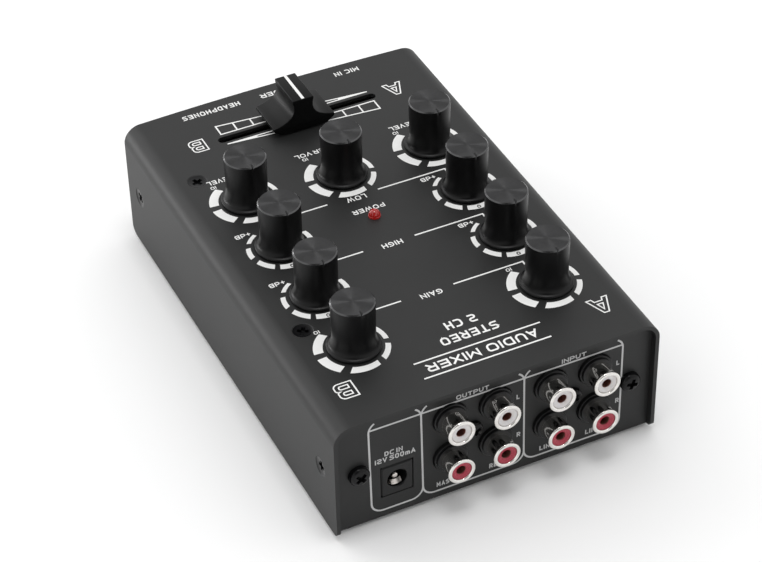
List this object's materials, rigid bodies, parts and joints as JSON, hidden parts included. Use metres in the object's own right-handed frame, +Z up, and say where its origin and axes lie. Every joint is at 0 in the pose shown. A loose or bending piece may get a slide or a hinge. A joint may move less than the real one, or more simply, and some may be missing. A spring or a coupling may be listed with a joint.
{
  "type": "mixing console",
  "caption": "Small table-top audio mixing console: folded steel case with rotary controls, a crossfader, phono sockets, a DC inlet and front jacks.",
  "frame": {"origin": "under the middle of the overall box, in the plane the feet stand on", "axes": "+X to the user's right, +Y towards the phono sockets at the back, +Z up"},
  "size_m": [0.1, 0.159, 0.0568],
  "materials": {
    "black_steel": "fine matt powder coat",
    "black_screws": "blackened",
    "circuit_board": "solder mask",
    "foot_rubber": "matt",
    "plain_steel": "zinc plated",
    "black_moulding": "satin moulded",
    "contact_metal": "nickel plated",
    "nickel_plate": "polished nickel",
    "red_lens": "clear red",
    "cap_plastic": "satin",
    "white_plastic": "moulded",
    "red_plastic": "moulded",
    "shaft_plastic": "moulded",
    "knob_plastic": "gloss grip, spun top"
  },
  "bodies": {
    "case": {"top_cover": "black_steel", "chassis": "black_steel", "corner_brackets": "black_steel", "rear_panel": "black_steel", "top_screws": "black_screws", "side_screws": "black_screws", "panel_screws": "black_screws", "block_screws": "black_screws", "main_board": "circuit_board", "socket_board": "circuit_board", "rubber_feet": "foot_rubber", "board_spacers": "plain_steel", "output_block": "black_moulding", "input_block": "black_moulding", "dc_body": "black_moulding", "light_spacer": "black_moulding", "jacks": "black_moulding", "phono_contacts": "contact_metal", "dc_pin": "contact_metal", "dc_spring": "contact_metal", "jack_nuts": "nickel_plate", "power_light": "red_lens", "fader_body": "plain_steel", "pot_bodies": "plain_steel", "shell_output_b_left": "nickel_plate", "insulator_output_b_left": "white_plastic", "shell_output_b_right": "nickel_plate", "insulator_output_b_right": "red_plastic", "shell_output_a_left": "nickel_plate", "insulator_output_a_left": "white_plastic", "shell_output_a_right": "nickel_plate", "insulator_output_a_right": "red_plastic", "shell_input_b_left": "nickel_plate", "insulator_input_b_left": "white_plastic", "shell_input_b_right": "nickel_plate", "insulator_input_b_right": "red_plastic", "shell_input_a_left": "nickel_plate", "insulator_input_a_left": "white_plastic", "shell_input_a_right": "nickel_plate", "insulator_input_a_right": "red_plastic"},
    "master_control": {"shaft_master": "shaft_plastic", "knob_master": "knob_plastic"},
    "gain_a_control": {"shaft_gain_a": "shaft_plastic", "knob_gain_a": "knob_plastic"},
    "gain_b_control": {"shaft_gain_b": "shaft_plastic", "knob_gain_b": "knob_plastic"},
    "high_a_control": {"shaft_high_a": "shaft_plastic", "knob_high_a": "knob_plastic"},
    "high_b_control": {"shaft_high_b": "shaft_plastic", "knob_high_b": "knob_plastic"},
    "low_a_control": {"shaft_low_a": "shaft_plastic", "knob_low_a": "knob_plastic"},
    "low_b_control": {"shaft_low_b": "shaft_plastic", "knob_low_b": "knob_plastic"},
    "level_a_control": {"shaft_level_a": "shaft_plastic", "knob_level_a": "knob_plastic"},
    "level_b_control": {"shaft_level_b": "shaft_plastic", "knob_level_b": "knob_plastic"},
    "crossfader": {"fader_lever": "plain_steel", "fader_cap": "cap_plastic"}
  },
  "joints": [
    {"name": "master_turn", "type": "hinge", "parent": "case", "child": "master_control", "pos_m": [0, -0.02695, 0.0406], "axis": [0, 0, -1], "range_deg": [-150, 150]},
    {"name": "gain_a_turn", "type": "hinge", "parent": "case", "child": "gain_a_control", "pos_m": [-0.03, 0.04495, 0.0406], "axis": [0, 0, -1], "range_deg": [-150, 150]},
    {"name": "gain_b_turn", "type": "hinge", "parent": "case", "child": "gain_b_control", "pos_m": [0.03, 0.04495, 0.0406], "axis": [0, 0, -1], "range_deg": [-150, 150]},
    {"name": "high_a_turn", "type": "hinge", "parent": "case", "child": "high_a_control", "pos_m": [-0.03, 0.02045, 0.0406], "axis": [0, 0, -1], "range_deg": [-150, 150]},
    {"name": "high_b_turn", "type": "hinge", "parent": "case", "child": "high_b_control", "pos_m": [0.03, 0.02045, 0.0406], "axis": [0, 0, -1], "range_deg": [-150, 150]},
    {"name": "low_a_turn", "type": "hinge", "parent": "case", "child": "low_a_control", "pos_m": [-0.03, -0.00405, 0.0406], "axis": [0, 0, -1], "range_deg": [-150, 150]},
    {"name": "low_b_turn", "type": "hinge", "parent": "case", "child": "low_b_control", "pos_m": [0.03, -0.00405, 0.0406], "axis": [0, 0, -1], "range_deg": [-150, 150]},
    {"name": "level_a_turn", "type": "hinge", "parent": "case", "child": "level_a_control", "pos_m": [-0.03, -0.02855, 0.0406], "axis": [0, 0, -1], "range_deg": [-150, 150]},
    {"name": "level_b_turn", "type": "hinge", "parent": "case", "child": "level_b_control", "pos_m": [0.03, -0.02855, 0.0406], "axis": [0, 0, -1], "range_deg": [-150, 150]},
    {"name": "crossfader_slide", "type": "slide", "parent": "case", "child": "crossfader", "axis": [1, 0, 0], "range_m": [-0.0232, 0.0218]}
  ]
}
